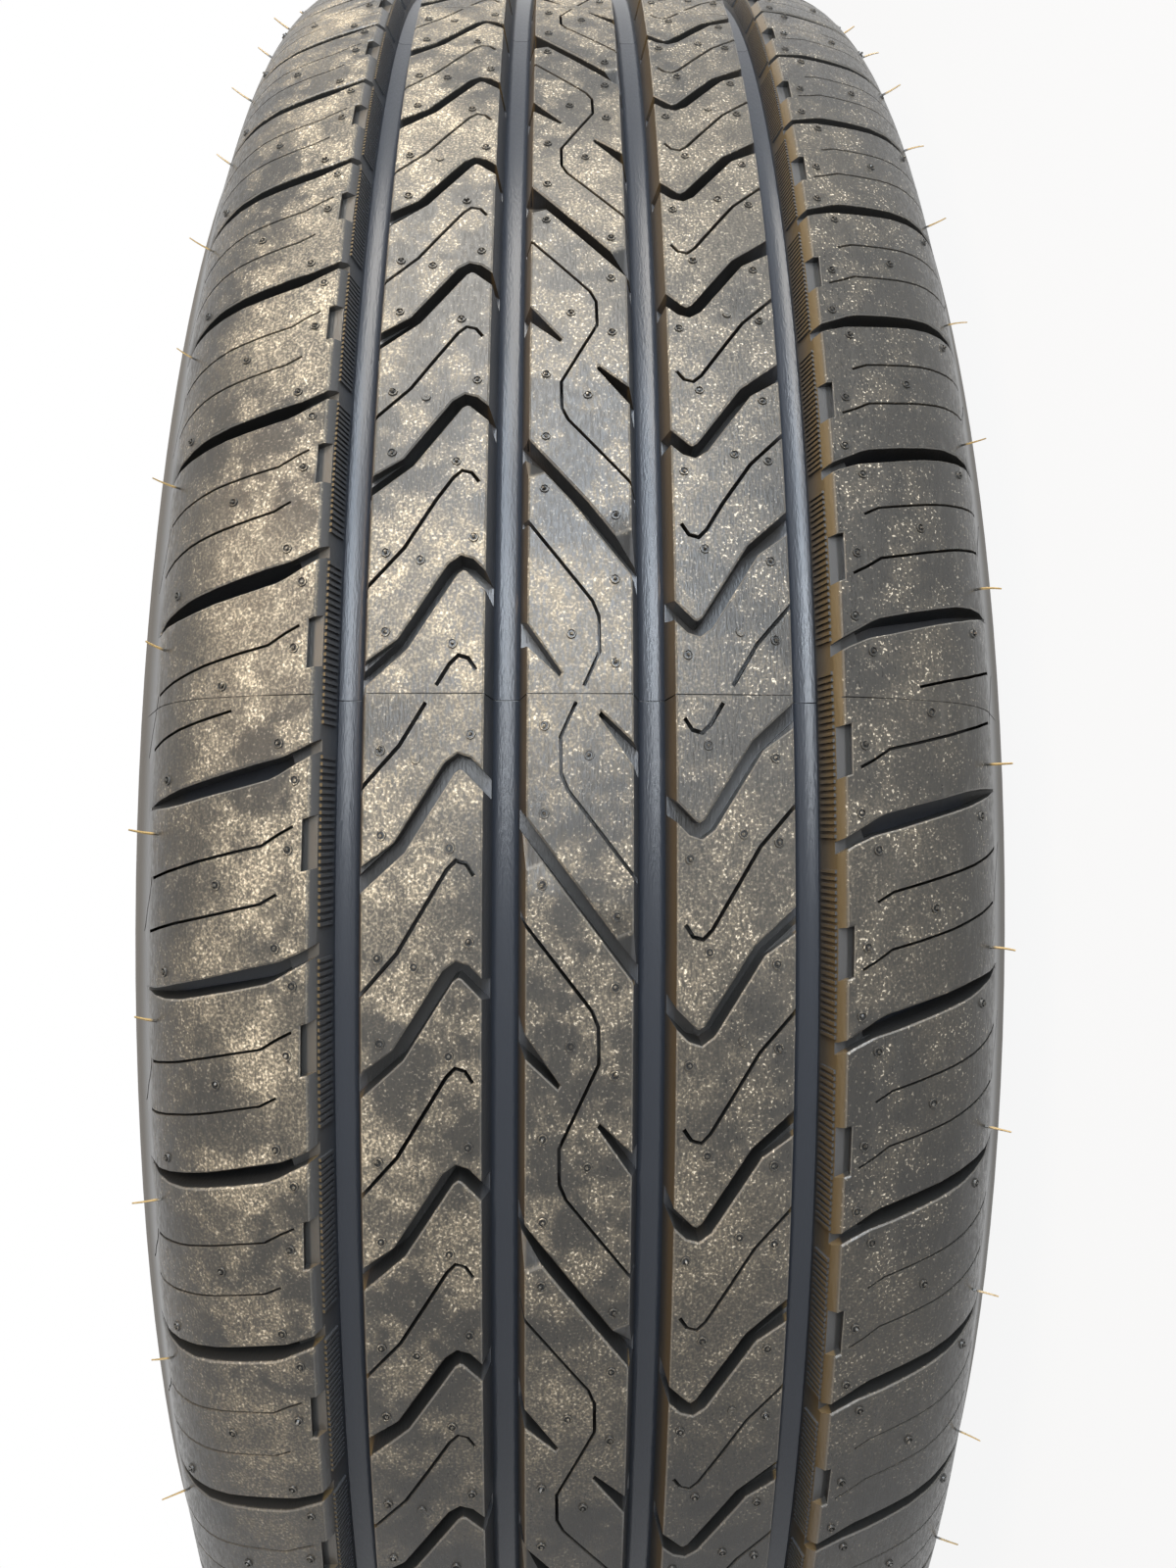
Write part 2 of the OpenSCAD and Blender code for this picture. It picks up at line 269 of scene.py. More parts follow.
# These two cross the middle rib and are the same when turned half round
middleRib = {
    "slant": {"path": [(0.451, 12.5), (-0.451, -12.5)], "width": 2.2, "depth": 6.5, "lip": 0.3},
    "bentSlit": {
        "path": [(1.95, 11.5), (1.47, -2.2), (1.39, -3.4), (1.21, -3.5), (0.79, 3.5), (0.61, 3.4),
                 (0.53, 2.2), (0.05, -11.5)],
        "width": 0.65, "depth": 5.5},
}
# The mould is in segments. A seam crosses the tread in the middle of some pairs, and slits stop short of it.
seam = {
    "pairs": (0, 3, 6, 9, 12, 15, 19, 22, 25),
    "cuts": {
        "tread": {"outline": [(0.997, -0.5), (0.997, 87.6), (1.003, 87.6), (1.003, -0.5)], "depth": 0.28},
        "innerGroove": {
            "outline": [(0.997, 9.7), (0.997, 17.2), (1.003, 17.2), (1.003, 9.7)], "depth": 8.25},
        "outerGroove": {
            "outline": [(0.997, 38.8), (0.997, 44.6), (1.003, 44.6), (1.003, 38.8)], "depth": 8.25},
        "slitFoot": {"path": [(0.48, 40.7), (0.744, 32.3), (0.955, 27.7)], "width": 0.75, "depth": 5.5},
        "slitHook": {
            "path": [(1.04, 25.9), (1.145, 23.6), (1.19, 22), (1.176, 20.2), (1.117, 18.8)],
            "width": 0.75, "depth": 5.5},
        "shortSlit": {
            "path": [(0.93, 63.4), (0.88, 70.3), (0.849, 74.4), (0.812, 78), (0.767, 81.5)],
            "width": 0.55, "depth": 5.0},
        "bentSlit": {
            "path": [(1.95, 11.5), (1.47, -2.2), (1.39, -3.4), (1.21, -3.5), (1.04, -0.7)],
            "width": 0.65, "depth": 5.5},
    },
    "skips": (("hookSlit", 0), ("shortSlit", 1)),
}
# How a groove or slit is made into a closed cutter
pocket = {
    "over": 0.8,       # how far a slit's cutter stands over the tread
    "flareOver": 0.6,  # and the flared top of a groove's cutter
    "start": 0.4,      # its first thickness, before it gets its depth
    "folds": (40, 58, 63.2, 67.8, 72, 76, 79.5),  # where it bends with the shoulder
    "fallFrom": 50,    # a falling floor has its full depth there
    "floorWithin": 0.1,
    "cutWithin": 0.0005,
}


def bisectAt(bm, place, normal):
    bmesh.ops.bisect_plane(bm, geom=bm.verts[:] + bm.edges[:] + bm.faces[:], dist=pocket["cutWithin"],
                           plane_co=place, plane_no=normal)


def bisectSteps(bm, first, last, steps):
    for i in range(steps + 1):
        bisectAt(bm, (first + (last - first) * i / steps, 0, 0), (1, 0, 0))


def pushOut(bm, outline, move):
    # Makes one face and pushes it out into a closed block
    face = bm.faces.new([bm.verts.new(point) for point in outline])
    grown = bmesh.ops.extrude_face_region(bm, geom=[face])["geom"]
    moved = [v for v in grown if isinstance(v, bmesh.types.BMVert)]
    bmesh.ops.translate(bm, verts=moved, vec=move)


def meshFrom(name, bm):
    mesh = bpy.data.meshes.new(name)
    bm.to_mesh(mesh)
    bm.free()
    return mesh


def pourInto(bm, part):
    spare = meshFrom("spare", part)
    bm.from_mesh(spare)
    bpy.data.meshes.remove(spare)


def meshObject(name, bm):
    obj = bpy.data.objects.new(name, meshFrom(name, bm))
    bpy.context.scene.collection.objects.link(obj)
    return obj


def sweptSection(first, last, steps):
    # The outline of the section, pushed along X into a closed bar and cut into straight steps
    half = halfSection()
    outline = half + [(radius, -across) for radius, across in reversed(half[1:])]
    bm = bmesh.new()
    pushOut(bm, [(first, across, radius) for radius, across in outline], (last - first, 0, 0))
    width = (last - first) / steps
    bisectSteps(bm, first + width, last - width, steps - 2)
    bmesh.ops.recalc_face_normals(bm, faces=bm.faces)
    return bm


def strokeOutline(path, width):
    # A line widened into an outline with mitred corners
    points = [Vector(p) for p in path]
    left, right = [], []
    for i, p in enumerate(points):
        before = (p - points[i - 1]).normalized() if i else (points[1] - p).normalized()
        after = (points[i + 1] - p).normalized() if i < len(points) - 1 else before
        normal = Vector((-before.y - after.y, before.x + after.x)).normalized()
        reach = width / 2 / normal.dot(Vector((-after.y, after.x)))
        left.append(p + normal * reach)
        right.append(p - normal * reach)
    return left + right[::-1]


def addPocket(bm, cut, step=0):
    # One closed cutter: straight walls, and a top that flares where it leaves a rounded block edge
    pitch, lip, depth = pattern["flatPitch"], cut.get("lip", 0.0), cut["depth"]
    outline = [((x + step) * pitch, y) for x, y in cut.get("outline", cut.get("path"))]
    if "path" in cut:
        outline = strokeOutline(outline, cut["width"])
    part = bmesh.new()
    top = -lip if lip else pocket["over"]
    pushOut(part, [(p[0], p[1], top) for p in outline], (0, 0, -pocket["start"]))
    bmesh.ops.recalc_face_normals(part, faces=part.faces)
    base = min(part.faces, key=lambda face: face.calc_center_median().z)
    lid = max(part.faces, key=lambda face: face.calc_center_median().z)
    bmesh.ops.translate(part, verts=base.verts, vec=(0, 0, pocket["start"] - depth - top))
    if lip:
        flare = lip + pocket["flareOver"]
        bmesh.ops.inset_region(part, faces=[lid], thickness=-flare, depth=flare,
                               use_boundary=True, use_even_offset=True)
    across = [v.co.y for v in part.verts]
    for y in pocket["folds"]:
        if min(across) < y < max(across):
            bisectAt(part, (0, y, 0), (0, 1, 0))
    for v in part.verts:
        if "fall" in cut and v.co.z < -depth + pocket["floorWithin"]:
            v.co.z = treadRadius(pocket["fallFrom"]) - depth - cut["fall"] * (v.co.y - pocket["fallFrom"])
        else:
            v.co.z += treadRadius(v.co.y)
    pourInto(bm, part)


def addBevel(bm, bevel):
    # A wedge over the sharp corner of a block: its floor falls from a hinge towards the corner
    length, width = bevel["length"], bevel["width"]
    fall = length * math.tan(math.radians(bevel["angle"]))
    wedge = bmesh.new()
    side = [(0, 0), (length, -fall), (length, 1), (0, 1)]
    pushOut(wedge, [(x, -width / 2, z) for x, z in side], (0, width, 0))
    bmesh.ops.recalc_face_normals(wedge, faces=wedge.faces)
    x, y = bevel["hinge"]
    place = Matrix.Translation((x * pattern["flatPitch"], y, treadRadius(y)))
    turn = Matrix.Rotation(math.radians(bevel["turn"]), 4, "Z")
    bmesh.ops.transform(wedge, verts=wedge.verts, matrix=place @ turn)
    pourInto(bm, wedge)


def turnedHalf(bm):
    # Adds the other half of the tread: the same, turned half round about the middle of the pair
    copied = bmesh.ops.duplicate(bm, geom=bm.verts[:] + bm.edges[:] + bm.faces[:])["geom"]
    verts = [v for v in copied if isinstance(v, bmesh.types.BMVert)]
    middle = (pattern["flatPitch"], 0, 0)
    bmesh.ops.rotate(bm, verts=verts, cent=middle, matrix=Matrix.Rotation(math.pi, 3, "Z"))


def cutTile(seamed):
    pitch, steps = pattern["flatPitch"], pattern["steps"]
    spare = 2 * pitch / steps
    tile = meshObject("tile", sweptSection(-spare, 2 * pitch + spare, steps + 2))
    bm = bmesh.new()
    for step in (-1, 0, 1, 2):
        for name, cut in everyPitch.items():
            if not (seamed and (name, step) in seam["skips"]):
                addPocket(bm, cut, step)
    for step in (-2, 0):
        addPocket(bm, notch, step)
    addBevel(bm, cornerBevel)
    if seamed:
        for cut in seam["cuts"].values():
            addPocket(bm, cut)
    turnedHalf(bm)
    for step in (-2, 0, 2):
        addPocket(bm, middleRib["slant"], step)
        if step or not seamed:
            addPocket(bm, middleRib["bentSlit"], step)
    cutter = meshObject("cutter", bm)
    boolean = tile.modifiers.new("cut", "BOOLEAN")
    boolean.operation, boolean.solver, boolean.object = "DIFFERENCE", "EXACT", cutter
    boolean.use_self = True
    evaluated = tile.evaluated_get(bpy.context.evaluated_depsgraph_get())
    bm = bmesh.new()
    bm.from_mesh(evaluated.to_mesh())
    evaluated.to_mesh_clear()
    for obj in (tile, cutter):
        bpy.data.objects.remove(obj)
    return bm


def flatTile(seamed):
    # Cuts the grooves' walls and floors into the same steps, and drops what runs past the ends of the pair
    bm = cutTile(seamed)
    end = 2 * pattern["flatPitch"]
    bisectSteps(bm, 0, end, pattern["steps"])
    outside = [f for f in bm.faces if not 0 < f.calc_center_median().x < end]
    bmesh.ops.delete(bm, geom=outside, context="FACES")
    return meshFrom("pairOfPitches", bm)


def bentRing(name, flatMesh, seamedMesh=None, closed=False):
    # Repeats the flat pair round the tyre, long or short as the order of the pairs says
    weights = [pattern["longPitch"] if long else 1 for long in pattern["pairs"]]
    bm = bmesh.new()
    start = pattern["firstAngle"]
    for i, weight in enumerate(weights):
        angle = 180 * weight / sum(weights)
        count = len(bm.verts)
        bm.from_mesh(seamedMesh if seamedMesh and i in seam["pairs"] else flatMesh)
        bm.verts.ensure_lookup_table()
        for v in bm.verts[count:]:
            turn = math.radians(start + angle * v.co.x / pattern["flatPitch"])
            radius = v.co.z * mm
            v.co = (radius * math.cos(turn), radius * math.sin(turn), v.co.y * mm)
        start += 2 * angle
    if closed:
        bmesh.ops.remove_doubles(bm, verts=bm.verts, dist=mergeWithin)
    return meshObject(name, bm)


def flatPiece(name, bm):
    # Bends what was made on the flat pair round the tyre
    bmesh.ops.recalc_face_normals(bm, faces=bm.faces)
    return bentRing(name, meshFrom(name, bm))


def smoothByAngle(piece, degrees):
    for face in piece.data.polygons:
        face.use_smooth = True
    piece.data.set_sharp_from_angle(angle=math.radians(degrees))


def markDepth(piece, top=0.0, scale=1.0):
    # How far each point lies under the surface of the tread, in millimetres, for the dust, the painted shade
    # and the painted edge highlights in the material
    depth = piece.data.attributes.new("depth", "FLOAT", "POINT")
    for v in piece.data.vertices:
        below = treadRadius(v.co.z / mm) + top - math.hypot(v.co.x, v.co.y) / mm
        depth.data[v.index].value = below * scale if below > 0 else below


def tiltAt(across, reach=0.2):
    # Slope of the tread surface there, as a turn about the X axis of the flat model
    return math.atan((treadRadius(across + reach) - treadRadius(across - reach)) / (2 * reach))


# Narrow bars across the sloping shelf of each outer groove, with a gap where a cross groove ends
shelfBars = {"first": 0.87, "last": 1.695, "count": 25, "width": 0.6, "proud": 0.5, "sunk": 0.3, "reach": 0.9}


def makeShelfBars():
    pitch, count = pattern["flatPitch"], shelfBars["count"]
    surface = treadRadius((edge3 + edge4) / 2)
    across = edge4 - tyre["shelfLean"] - tyre["shelfWidth"] / 2
    height = surface - (tyre["shelfTop"] + tyre["shelfEnd"]) / 2
    fall = tyre["shelfEnd"] - tyre["shelfTop"]
    length = math.hypot(fall, tyre["shelfWidth"]) * shelfBars["reach"]
    thick = shelfBars["proud"] + shelfBars["sunk"]
    lie = Matrix.Rotation(math.atan2(fall, tyre["shelfWidth"]), 4, "X")
    lift = Matrix.Translation((0, 0, (shelfBars["proud"] - shelfBars["sunk"]) / 2))
    size = Matrix.Diagonal((shelfBars["width"], length, thick, 1))
    spacing = shelfBars["last"] - shelfBars["first"]
    bm = bmesh.new()
    for step in (-1, 0):
        for i in range(count):
            x = (step + shelfBars["first"] + spacing * i / (count - 1)) * pitch
            if x < 0:
                x += 2 * pitch
            place = Matrix.Translation((x, across, height))
            bmesh.ops.create_cube(bm, size=1, matrix=place @ lie @ lift @ size)
    turnedHalf(bm)
    return flatPiece("shelf_bars", bm)


# Marks left by the mould's air vents: a low ring with the stub of a rubber stem in it.
# Their sizes are shares of the radius, apart from what is marked as millimetres.
vents = {
    "shoulder": [(0.59, 76.5), (0.76, 54.2), (0.058, 65.5), (0.5785, 51), (0.238, 52)],
    "sideRib": [(0.72, 35.7), (0.68, 29.3), (0.80, 19.6), (0.31, 35.3), (0.25, 23.1)],
    "middleRib": [(0.076, 6.6), (0.417, 6.4), (0.843, 6.4), (0.70, -1.6)],
    "radius": 0.92,        # mm
    "height": 0.35,        # mm
    "sunk": 0.25,          # mm
    "ring": (1.12, 0.95),  # at the foot and at the top
    "rim": 0.18,
    "inside": 0.08,
    "stub": (0.42, 0.28),
    "stubTall": (0.5, 1.0),  # mm
    "stubSunk": 0.12,      # mm
    "stubLean": 0.5,       # radians
    "smoothAngle": 50,
    "bowlShadeFrom": 0.33,      # mm over the tread, from where the material counts a mark's inside as deep and paints shade in it
    "bowlShadeScale": 4,           # times as deep as it is, which darkens the bowl as painted shade
}


def addVent(bm, x, y, chance):
    radius, height, sunk, lean = (vents[key] for key in ("radius", "height", "sunk", "stubLean"))
    place = Matrix.Translation((x, y, treadRadius(y))) @ Matrix.Rotation(tiltAt(y), 4, "X")
    foot, top = vents["ring"]
    before = len(bm.faces)
    bmesh.ops.create_cone(bm, segments=8, radius1=radius * foot, radius2=radius * top, depth=height + sunk,
                          cap_ends=True, matrix=place @ Matrix.Translation((0, 0, (height - sunk) / 2)))
    bm.faces.ensure_lookup_table()
    upwards = place.col[2].xyz
    lid = max(bm.faces[before:], key=lambda face: face.calc_center_median().dot(upwards))
    bmesh.ops.inset_region(bm, faces=[lid], thickness=radius * vents["rim"])
    bmesh.ops.inset_region(bm, faces=[lid], thickness=radius * vents["inside"], depth=-height)
    leaning = Matrix.Rotation(chance.uniform(-lean, lean), 4, "X")
    leaning = leaning @ Matrix.Rotation(chance.uniform(-lean, lean), 4, "Y")
    tall = chance.uniform(*vents["stubTall"])
    lift = Matrix.Translation((0, 0, tall / 2 - vents["stubSunk"]))
    foot, top = vents["stub"]
    bmesh.ops.create_cone(bm, segments=5, radius1=radius * foot, radius2=radius * top, depth=tall,
                          cap_ends=True, matrix=place @ leaning @ lift)


def makeVents():
    chance, pitch = random.Random(11), pattern["flatPitch"]
    bm = bmesh.new()
    for step in (0, 1):
        for along, across in vents["shoulder"] + vents["sideRib"]:
            addVent(bm, (along + step) * pitch, across, chance)
    for along, across in vents["middleRib"]:
        addVent(bm, along * pitch, across, chance)
    turnedHalf(bm)
    return flatPiece("vent_marks", bm)


# Thin rubber hairs that grew into the vents along the edges of the tread
hairs = {
    "place": (0.306, 78.8),
    "thickness": 0.3,
    "length": 5.2,
    "spread": (0.8, 1.1),  # shortest and longest, as shares of the length
    "sunk": 0.3,
    "joints": 4,
    "taper": 0.87,         # at each joint
    "outwards": 1.15,      # over the slope of the tread
    "bend": 0.07,          # radians
    "lean": 0.2,
    "smoothAngle": 60,
}


def addHair(bm, x, y, chance):
    lean, curl, joints = hairs["lean"], hairs["bend"], hairs["joints"]
    place = Matrix.Translation((x, y, treadRadius(y) - hairs["sunk"]))
    place = place @ Matrix.Rotation(tiltAt(y) * hairs["outwards"], 4, "X")
    place = place @ Matrix.Rotation(chance.uniform(-lean, lean), 4, "Y")
    made = bmesh.ops.create_circle(bm, cap_ends=True, segments=4, radius=hairs["thickness"], matrix=place)
    end = made["verts"][0].link_faces[0]
    bend = Matrix.Rotation(chance.uniform(-curl, curl), 4, "X")
    bend = bend @ Matrix.Rotation(chance.uniform(-curl, curl), 4, "Y")
    step = Matrix.Translation((0, 0, hairs["length"] * chance.uniform(*hairs["spread"]) / joints))
    for i in range(joints):
        grown = bmesh.ops.extrude_face_region(bm, geom=[end], use_keep_orig=i == 0)["geom"]
        end = next(g for g in grown if isinstance(g, bmesh.types.BMFace))
        move = bend @ step @ Matrix.Scale(hairs["taper"], 4)
        bmesh.ops.transform(bm, verts=end.verts, matrix=place @ move @ place.inverted())
        place = place @ bend @ step


def makeHairs():
    chance, pitch = random.Random(5), pattern["flatPitch"]
    along, across = hairs["place"]
    bm = bmesh.new()
    for step in (0, 1):
        addHair(bm, (along + step) * pitch, across, chance)
        addHair(bm, (2 - along - step) * pitch, -across, chance)
    return flatPiece("vent_hairs", bm)


treadAndCasing = bentRing("tread_and_casing", flatTile(False), flatTile(True), closed=True)
bars, ventMarks, ventHairs = makeShelfBars(), makeVents(), makeHairs()
smoothByAngle(treadAndCasing, tyre["smoothAngle"])
smoothByAngle(ventMarks, vents["smoothAngle"])
smoothByAngle(ventHairs, hairs["smoothAngle"])
markDepth(treadAndCasing)
markDepth(bars)
# Each vent mark's bowl counts deeper than it is, so the material paints shade in it
markDepth(ventMarks, vents["bowlShadeFrom"], vents["bowlShadeScale"])
markDepth(ventHairs)
print("shapes made")

# Camera, in the place from which the photograph was taken: in front of the tread, close to it
view = {
    "lens": 29.025,
    "sensor": 36,
    "distance": 536.04,
    "across": 5.63,
    "around": 1.13,
    "yaw": -1.917,
    "pitch": 4.778,
    "roll": 0.089,
    "shift": (-0.0019, -0.0446),
}


def turnAbout(axis, degrees):
    return Matrix.Rotation(math.radians(degrees), 3, axis)


def makeCamera():
    cam = bpy.data.cameras.new("camera")
    cam.lens, cam.sensor_width, cam.clip_start = view["lens"], view["sensor"], 0.01
    cam.shift_x, cam.shift_y = view["shift"]
    obj = bpy.data.objects.new("camera", cam)
    bpy.context.scene.collection.objects.link(obj)
    turn = turnAbout("Y", view["yaw"]) @ turnAbout("X", view["pitch"]) @ turnAbout("Z", view["roll"])
    lie = Matrix(((0, 1, 0), (0, 0, -1), (-1, 0, 0)))
    place = Matrix.Translation((0, -view["distance"] * mm, view["across"] * mm))
    obj.matrix_world = turnAbout("Z", view["around"]).to_4x4() @ place @ (lie @ turn).to_4x4()
    bpy.context.scene.camera = obj


makeCamera()


class Shade:
    # A socket of a material's node tree, on which sums and products can be written
    def __init__(self, tree, socket=None):
        self.tree, self.socket = tree, socket

    def node(self, kind, settings, sockets, output=0):
        made = self.tree.nodes.new("ShaderNode" + kind)
        for name, value in settings.items():
            setattr(made, name, value)
        for name, value in sockets.items():
            if isinstance(value, Shade):
                self.tree.links.new(value.socket, made.inputs[name])
            else:
                made.inputs[name].default_value = value
        return Shade(self.tree, made.outputs[output])

    def math(self, operation, a, b=0.0):
        return self.node("Math", {"operation": operation}, {0: a, 1: b})

    def __add__(self, other):
        return self.math("ADD", self, other)

    def __radd__(self, other):
        return self + other

    def __mul__(self, other):
        return self.math("MULTIPLY", self, other)

    def __rmul__(self, other):
        return self * other

    def __sub__(self, other):
        return self.math("SUBTRACT", self, other)

    def __rsub__(self, other):
        return self.math("SUBTRACT", other, self)

    def rise(self, low, high):
        # 0 below low, 1 above high and smooth between
        return self.node("MapRange", {"interpolation_type": "SMOOTHSTEP"},
                         {"Value": self, "From Min": low, "From Max": high})

    def fall(self, low, high):
        return 1 - self.rise(low, high)

    def blend(self, first, second):
        # Mixes two colours, with this value as the share of the second
        return self.node("Mix", {"data_type": "RGBA"}, {0: self, 6: first, 7: second}, 2)


rubber = {
    "clean": (0.024, 0.028, 0.036, 1),
    "cut": (0.030, 0.030, 0.029, 1),      # walls of the cross grooves and slits
    "wall": (0.070, 0.070, 0.070, 1),     # walls of the long grooves that face -Z, a lighter grey than the cut walls: painted light
    "warmLitWall": (0.125, 0.090, 0.046, 1),    # and those that face +Z, brown: painted warm light from that side
    "sidewall": (0.058, 0.048, 0.034, 1),
    "film": (0.038, 0.036, 0.032, 1),     # grey film on the blocks
    "edge": (0.22, 0.21, 0.19, 1),        # painted highlight on the rounded top edges of the blocks
    "dust": (0.58, 0.49, 0.35, 1),
    "speck": (0.95, 0.85, 0.68, 1),
    "hair": (0.42, 0.29, 0.12, 1),        # sunlit tips of the thin hairs
    "wallShadeShare": 0.6,                     # how far the long groove walls darken to the floor colour towards the floor, as painted shade
    "edgeHighlightShare": 0.4,
    "speckShare": 0.8,
    "specular": 0.40,
    "roughness": {"clean": 0.30, "film": 0.37, "dust": 0.75},
    "rougher": {"streaks": 0.16, "sidewall": 0.22},
    "bump": (0.25, 0.2),                  # strength, and height in millimetres
}
# From where to where each zone fades in, in millimetres of depth, across the tread or up the picture
zones = {
    "grooveSoft": 0.5,          # width of the change beside each long groove
    "belowTop": (0.15, 0.8),
    "edgeStart": (0.0, 0.1),
    "edgeEnd": (0.2, 0.5),
    "wallFade": (1.5, 6.5),
    "floor": (6.4, 7.6),
    "hairTip": (-2.6, -0.8),
    "leftSide": (-66, 62),
    "outerPart": (60, 76),
    "edgeHighlightEnd": (78, 80),
    "pastTread": (80.5, 83),
    "sidewall": (82, 88),
    "upperPart": (-150, -60),
    "warmLitSide": (0.0, 0.4),    # how far a wall faces +Z, where painted warm light turns it brown
    "dustGrains": (0.43, 0.65),
    "specks": (0.64, 0.72),
}
# Clouds, streaks and grains: size in millimetres, detail and roughness, and from where to where each fades in
noises = {
    "patches": ((40, 1, 0.55), (0.42, 0.60)),
    "blotches": ((9, 2, 0.65), (0.42, 0.64)),
    "brushed": ((2.0, 2, 0.7), (0.34, 0.66)),
    "brushedMiddle": 0.4,
    "grains": (0.5, 1, 0.5),
    "skin": (1.6, 1, 0.6),
    "streak": (1, 1, 4),        # makes streaks finer across the tread
}
# How much of each kind of dust lies where: the share that lies everywhere and what each zone or noise adds
dust = {
    "film": {"everywhere": 0.42, "patches": 0.2, "brushed": 0.3, "left": 0.2},
    "filmUp": {"everywhere": 0.5, "thick": 0.5},
    "dust": {"everywhere": 0.04, "blotches": 0.55, "patches": 0.35},
    "dustSides": {"everywhere": 0.14, "left": 0.66},
    "dustGrain": {"everywhere": 0.15, "brushed": 0.4, "dustGrains": 0.9},
    "specks": {"everywhere": 0.16, "blotches": 0.8},
    "specksInside": {"everywhere": 0.3, "inner": 0.6},
    "outerLoss": 0.85,
    # share of film, dust and specks left at the bottom of the picture, where the tread is darker
    "lowerShare": 0.18,
}


def rubberMaterial():
    material = bpy.data.materials.new("tyre_rubber")
    material.use_nodes = True
    tree = material.node_tree
    principled = tree.nodes["Principled BSDF"]
    start = Shade(tree)
    metres = start.node("TexCoord", {}, {}, "Object")
    facing = start.node("SeparateXYZ", {}, {0: start.node("TexCoord", {}, {}, "Normal")}, "Z")
    place = start.node("VectorMath", {"operation": "SCALE"}, {0: metres, "Scale": 1000})
    streaked = start.node("Mapping", {}, {"Vector": place, "Scale": noises["streak"]})
    across = start.node("SeparateXYZ", {}, {0: place}, "Z")
    upward = start.node("SeparateXYZ", {}, {0: place}, "X")
    side = start.math("ABSOLUTE", across)
    depth = start.node("Attribute", {"attribute_name": "depth"}, {}, "Fac")

    def noise(vector, size, detail, roughness):
        return start.node("TexNoise", {}, {"Vector": vector, "Scale": 1 / size, "Detail": detail,
                                           "Roughness": roughness})

    def cloud(vector, name):
        look, fade = noises[name]
        return noise(vector, *look).rise(*fade)

    # Where the long grooves, the block tops and the painted highlights on the block edges are
    soft = zones["grooveSoft"]
    inGroove = side.rise(edge1 - soft, edge1) * side.fall(edge2, edge2 + soft)
    inGroove = inGroove + side.rise(edge3 - soft, edge3) * side.fall(edge4, edge4 + soft)
    onTop = depth.fall(*zones["belowTop"]) * side.fall(*zones["pastTread"])
    # A thin band at the top of each wall, just under the tread surface, painted lighter as a highlight on the
    # rounded block edge
    edge = depth.rise(*zones["edgeStart"]) * depth.fall(*zones["edgeEnd"]) * side.fall(*zones["edgeHighlightEnd"])
    onSidewall = side.rise(*zones["sidewall"])
    inner = 1 - side.rise(*zones["outerPart"]) * dust["outerLoss"]
    # Film, dust and specks thin out towards the bottom of the picture (object -X), which makes the lower tread
    # darker
    thick = upward.rise(*zones["upperPart"]) * (1 - dust["lowerShare"]) + dust["lowerShare"]
    brushed, grains = cloud(streaked, "brushed"), noise(place, *noises["grains"])
    parts = {
        "left": across.rise(*zones["leftSide"]), "inner": inner, "thick": thick,
        "patches": cloud(place, "patches"), "blotches": cloud(place, "blotches"),
        "brushed": brushed, "dustGrains": grains.rise(*zones["dustGrains"]),
    }

    def share(name):
        added = dict(dust[name])
        total = added.pop("everywhere")
        for part, amount in added.items():
            total = total + parts[part] * amount
        return total

    film = onTop * share("film") * share("filmUp")
    dusty = share("dust") * share("dustSides") * share("dustGrain") * inner * thick * onTop
    specks = grains.rise(*zones["specks"]) * share("specks") * share("specksInside") * thick * onTop
    # The rubber's colours from the groove floors up, with painted light and shade on the long groove walls,
    # then what lies on it
    # Painted warm light: long groove walls that face +Z turn brown, and those that face -Z a lighter grey
    longWall = facing.rise(*zones["warmLitSide"]).blend(rubber["wall"], rubber["warmLitWall"])
    # Painted shade: the long groove walls darken to the floor colour towards the groove floor
    longWall = (depth.rise(*zones["wallFade"]) * rubber["wallShadeShare"]).blend(longWall, rubber["clean"])
    colour = inGroove.blend(rubber["cut"], longWall)
    colour = depth.rise(*zones["floor"]).blend(colour, rubber["clean"])
    colour = onSidewall.blend(colour, rubber["sidewall"])
    colour = film.blend(colour, rubber["film"])
    # Painted highlight along the rounded block edges
    colour = (edge * rubber["edgeHighlightShare"]).blend(colour, rubber["edge"])
    colour = dusty.blend(colour, rubber["dust"])
    colour = (specks * rubber["speckShare"]).blend(colour, rubber["speck"])
    colour = depth.fall(*zones["hairTip"]).blend(colour, rubber["hair"])
    dull = rubber["roughness"]
    roughness = dull["clean"] + film * (dull["film"] - dull["clean"]) + dusty * (dull["dust"] - dull["film"])
    roughness = roughness + (brushed - noises["brushedMiddle"]) * onTop * rubber["rougher"]["streaks"]
    roughness = roughness + onSidewall * rubber["rougher"]["sidewall"]
    strength, height = rubber["bump"]
    bump = start.node("Bump", {}, {"Strength": strength, "Distance": height * mm,
                                   "Height": noise(streaked, *noises["skin"])})
    for name, link in (("Base Color", colour), ("Roughness", roughness), ("Normal", bump)):
        tree.links.new(link.socket, principled.inputs[name])
    principled.inputs["Specular IOR Level"].default_value = rubber["specular"]
    return material


def finishPiece(piece, material):
    piece.data.materials.append(material)
    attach(piece, "root")
    print(piece.name + ":", sum(len(f.vertices) - 2 for f in piece.data.polygons), "triangles")


treadRubber = rubberMaterial()
finishPiece(treadAndCasing, treadRubber)
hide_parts("tyre")
for piece in (bars, ventMarks, ventHairs):
    finishPiece(piece, treadRubber)

